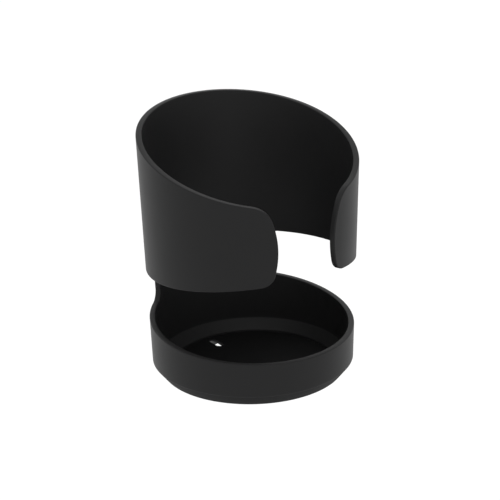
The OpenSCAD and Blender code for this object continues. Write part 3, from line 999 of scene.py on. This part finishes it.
bolt = {"head": 5.15, "headLow": -7.0, "headHigh": -3.65, "crown": 4.0, "crownDrop": 1.2, "socket": 4.0,
        "socketDepth": 2.1, "shank": 2.98, "threadFrom": -50.6, "end": -58.55, "pitch": 1.0,
        "threadDepth": 0.5}


def boltRows():
    b = bolt
    top = b["headHigh"]
    return ([(0, top - b["socketDepth"] - 0.5), (hexagon(b["socket"]), top - b["socketDepth"]),
             (hexagon(b["socket"]), top - 0.25), (hexagon(b["socket"] * 1.1), top)]
            + softened([(2.9, top), (b["crown"], top), (b["head"], top - b["crownDrop"]),
                        (b["head"], b["headLow"]),
                        (b["shank"], b["headLow"]), (b["shank"], b["threadFrom"])],
                       [0, 0.5, 0.4, 0.15, 0.1, 0], 4, closed=False)
            + threadRows(b["shank"], b["threadDepth"], b["pitch"], b["threadFrom"] - 0.1, b["end"] + 0.5)
            + [(2.1, b["end"]), (0, b["end"])])


settle(turned("pivotBolt", boltSteel, [(boltRows(), atSwivel, False)]), "pivot_bolt", "clamp")
settle(turned("pivotWasher", boltSteel, [(softened([(3.2, -50.2), (6.15, -50.2), (6.15, -49), (3.2, -49)],
                                                   [0.1, 0.2, 0.2, 0.1], 3), atSwivel, True)]),
       "pivot_washer", "clamp")
settle(turned("discSpring", springSteel, [(softened(
    [(3.2, -51.7), (4.0, -51.7), (5.95, -50.9), (5.95, -50.2), (5.2, -50.2), (3.2, -51.0)],
    [0.1, 0.1, 0.15, 0.15, 0.1, 0.1], 3), atSwivel, True)]), "disc_spring", "clamp")

nut = {"across": 10.0, "high": -51.75, "hexLow": -55.7, "low": -57.5, "collar": 4.85, "bore": 3.02,
       "ring": 4.08}


def nutRows():
    n = nut
    flat = n["across"] / 2
    rows = [(n["bore"], n["high"] - 0.3), (n["bore"] + 0.3, n["high"])]
    steps = (0, 0.15, 0.35, 0.6, 0.9)               # how far each ring of the chamfer reaches past the flats
    rows += [(hexagon(n["across"], flat - 0.15 + t), n["high"] - 0.55 * t ** 1.2) for t in steps]
    rows += [(hexagon(n["across"], flat - 0.1 + t), n["hexLow"] + 0.55 * t ** 1.2) for t in steps[::-1]]
    rows += softened([(n["collar"], n["hexLow"]), (n["collar"], n["low"]), (n["ring"], n["low"]),
                      (n["ring"], n["hexLow"]), (n["bore"], n["hexLow"])], [0, 0.5, 0.1, 0, 0], 4,
                     closed=False)
    return rows


settle(turned("lockNut", boltSteel, [(nutRows(), atSwivel, True)], 96), "lock_nut", "clamp")
settle(turned("lockNutRing", ringNylon, [(softened([(3.0, -57.28), (4.05, -57.28), (4.05, -55.72),
                                                    (3.0, -55.72)],
                                                   [0.3, 0.1, 0.05, 0.05], 3), atSwivel, True)]),
       "lock_nut_ring", "clamp")
settle(turned("stopPin", springSteel, [([(0, -17.38), (1.1, -17.38), (1.48, -17.0), (1.48, -9.05),
                                         (0, -9.05)],
                                        lambda x, y, z: atSwivel(x, y + 8, z), False)]),
       "stop_pin", "clamp")

bushing = {"bore": 3.98, "outer": 6.5, "collar": 8.5, "collarDepth": 1.5, "low": -63.45, "high": -50.5}


def bushingRows():
    b = bushing
    return softened([(b["bore"], b["low"]), (b["collar"], b["low"]),
                     (b["collar"], b["low"] + b["collarDepth"]),
                     (b["outer"], b["low"] + b["collarDepth"]), (b["outer"], b["high"]),
                     (b["bore"], b["high"])],
                    [0.6, 0.3, 0.05, 0.1, 0.4, 0.6], 3)


settle(turned("threadBush", insertBrass, [(bushingRows(), rowPoint, True)], 96), "thread_bush", "clamp")
print("pivot and bushes built")

plate = {"radius": 11.95, "top": -27.0, "under": -30.0, "hub": 6.45, "hubLow": -35.0, "bore": 3.05,
         "pocket": 5.0, "pocketFloor": -28.6}


def plateRows():
    p = plate
    return softened([(p["bore"], p["hubLow"]), (p["hub"], p["hubLow"]), (p["hub"], p["under"]),
                     (p["radius"], p["under"]), (p["radius"], p["top"]), (p["pocket"], p["top"]),
                     (p["pocket"], p["pocketFloor"]), (p["bore"], p["pocketFloor"])],
                    [0.3, 0.8, 0.9, 0.8, 0.3, 0.1, 0.1, 0.2], 4)


settle(turned("pressurePlate", plateSteel, [(plateRows(), rowPoint, True)], 96), "pressure_plate", "foot")

spindle = {"radius": 3.93, "threadDepth": 0.62, "pitch": 1.25, "low": -92.9, "high": -35.15, "spigot": 2.98,
           "top": -27.25, "groove": 2.4, "grooveLow": -28.4, "grooveHigh": -27.6}


def spindleRows():
    s = spindle
    return ([(0, s["low"])] + threadRows(s["radius"], s["threadDepth"], s["pitch"], s["low"],
                                         s["high"] - 0.4, 10)
            + [(s["radius"] - s["threadDepth"], s["high"]), (s["spigot"], s["high"] + 0.05),
               (s["spigot"], s["grooveLow"]), (s["groove"], s["grooveLow"]), (s["groove"], s["grooveHigh"]),
               (s["spigot"], s["grooveHigh"]), (s["spigot"] - 0.2, s["top"]), (0, s["top"])])


settle(turned("clampScrew", screwSteel, [(spindleRows(), rowPoint, False)], 64), "clamp_screw", "screw")

clip = {"outer": 4.55, "inner": 2.45, "low": -28.38, "high": -27.62, "mouth": 1.6}


def buildClip():
    c = clip
    first = math.asin(c["mouth"] / c["outer"])
    second = math.asin(c["mouth"] / c["inner"])
    start, span = math.pi / 2 + first, 2 * math.pi - 2 * first
    outer = [(c["outer"] * math.cos(start + span * i / 40), c["outer"] * math.sin(start + span * i / 40))
             for i in range(41)]
    start, span = math.pi / 2 + second, 2 * math.pi - 2 * second
    inner = [(c["inner"] * math.cos(start + span * i / 30), c["inner"] * math.sin(start + span * i / 30))
             for i in range(31)]
    return slabPiece("retainingRing", clipSteel, [softened(outer + inner[::-1], 0, 1)], c["low"],
                     c["high"], 0.08, rowPoint)


settle(buildClip(), "retaining_ring", "screw")

knob = {"radius": 13.95, "lobes": 6, "scallop": 5.5, "scallopAt": 17.4, "blend": 1.6, "low": -96.95,
        "high": -81.05,
        "shoulder": -84.0, "crown": 9.0, "insert": 10.0, "cap": 8.0, "recess": 2.0, "around": 360}


def lobed(radius):
    # a circle with scallops let into it, their edges rounded over
    k = knob

    def reach(angle):
        part = 2 * math.pi / k["lobes"]
        off = (angle % part) - part / 2
        inside = k["scallop"] ** 2 - (k["scallopAt"] * math.sin(off)) ** 2
        if inside <= 0:
            return radius
        scoop = k["scallopAt"] * math.cos(off) - math.sqrt(inside)
        return -math.log(math.exp(-k["blend"] * radius) + math.exp(-k["blend"] * scoop)) / k["blend"]
    return reach


def knobRows():
    k = knob
    side = softened([(k["cap"] + 0.3, k["low"]), (k["radius"], k["low"]), (k["radius"], k["shoulder"]),
                     (k["crown"], k["high"]), (6.4, k["high"])], [0, 1.4, 1.6, 1.2, 0], 6, closed=False)
    rows = [(0, k["low"] + k["recess"]), (k["cap"] + 0.05, k["low"] + k["recess"]),
            (k["cap"] + 0.05, k["low"] + 0.2)]
    rows += [(lobed(r), z) for r, z in side]
    return rows + [(hexagon(k["insert"] + 0.1), k["high"] - 0.1),
                   (hexagon(k["insert"] + 0.1), k["high"] - 7), (4, k["high"] - 7), (0, k["high"] - 7)]


settle(turned("knob", knobPlastic, [(knobRows(), rowPoint, False)], knob["around"]), "knob", "screw")

brass = {"across": 9.95, "high": -81.15, "low": -88.9, "bore": 3.95}


def knobInsertRows():
    b = brass
    return [(b["bore"], b["high"] - 0.4), (b["bore"] + 0.4, b["high"]),
            (hexagon(b["across"] - 0.5), b["high"]),
            (hexagon(b["across"]), b["high"] - 0.25), (hexagon(b["across"]), b["low"]),
            (b["bore"], b["low"])]


settle(turned("knobInsert", insertBrass, [(knobInsertRows(), rowPoint, True)], 96), "knob_insert", "screw")

cap = {"radius": 7.95, "low": -96.85, "high": -95.02, "dish": 0.35}


def capRows():
    c = cap
    dish = [(c["radius"] * 0.8 * i / 8, c["low"] + c["dish"] * (1 - (i / 8) ** 2)) for i in range(9)]
    return dish + softened([(c["radius"] * 0.82, c["low"]), (c["radius"], c["low"]),
                            (c["radius"], c["high"]),
                            (0.01, c["high"])], [0, 0.3, 0.1, 0], 4, closed=False) + [(0, c["high"])]


settle(turned("knobCap", capPlastic, [(capRows(), rowPoint, False)], 96), "knob_cap", "screw")
print("screw and knob built")

view = {"lens": 111.8, "distance": 665.5, "elevation": 20.427, "aimUp": 49.06, "aimRight": -0.22,
        "lean": -1.339, "floorDrop": 0.4, "world": 1.1}


def placeCamera():
    data = bpy.data.cameras.new("camera")
    data.lens = view["lens"]
    data.sensor_width = 36
    data.clip_start = 0.01
    camera = bpy.data.objects.new("camera", data)
    bpy.context.scene.collection.objects.link(camera)
    tilt = math.radians(view["elevation"])
    right = Vector((1, 0, 0))
    up = Vector((0, math.sin(tilt), math.cos(tilt)))
    ahead = Vector((0, math.cos(tilt), -math.sin(tilt)))
    place = cupFoot + (up * view["aimUp"] + right * view["aimRight"] - ahead * view["distance"]) * mm
    lean = math.radians(-view["lean"])
    leanRight = right * math.cos(lean) - up * math.sin(lean)
    leanUp = up * math.cos(lean) + right * math.sin(lean)
    turn = Matrix((leanRight, leanUp, -ahead)).transposed()
    camera.matrix_world = Matrix.Translation(place) @ turn.to_4x4()
    bpy.context.scene.camera = camera


def placeFloor():
    mesh = bpy.data.meshes.new("floor")
    lowest = cadBounds[0][2] - view["floorDrop"]
    reach = 6
    mesh.from_pydata([(-reach, -reach, lowest), (reach, -reach, lowest), (reach, reach, lowest),
                      (-reach, reach, lowest)], [], [(0, 1, 2, 3)])
    floor = bpy.data.objects.new("floor", mesh)
    bpy.context.scene.collection.objects.link(floor)
    shader = Shader("paleFloor")
    shader.shine(Base_Color=shader.blendColours(shader.noise(3, 2), (0.94, 0.94, 0.94), (0.96, 0.96, 0.96)),
                 Roughness=0.7, Specular_IOR_Level=0.2)
    mesh.materials.append(shader.material)


def softbox(name, place, target, size, power):
    data = bpy.data.lights.new(name, "AREA")
    data.shape = "RECTANGLE"
    data.size, data.size_y = size
    data.energy = power
    lamp = bpy.data.objects.new(name, data)
    lamp.location = place
    lamp.rotation_euler = (Vector(target) - Vector(place)).to_track_quat("-Z", "Y").to_euler()
    bpy.context.scene.collection.objects.link(lamp)


def placeLights():
    world = bpy.data.worlds.new("studio")
    world.use_nodes = True
    world.node_tree.nodes["Background"].inputs["Color"].default_value = (1, 1, 1, 1)
    world.node_tree.nodes["Background"].inputs["Strength"].default_value = view["world"]
    bpy.context.scene.world = world
    middle = cupFoot + Vector((0, 0, 50 * mm))
    softbox("topBox", middle + Vector((-0.1, 0.1, 1.6)), middle, (1.8, 1.8), 1)


placeCamera()
placeFloor()
placeLights()
bpy.context.scene.view_settings.view_transform = "Standard"
print("stage set")
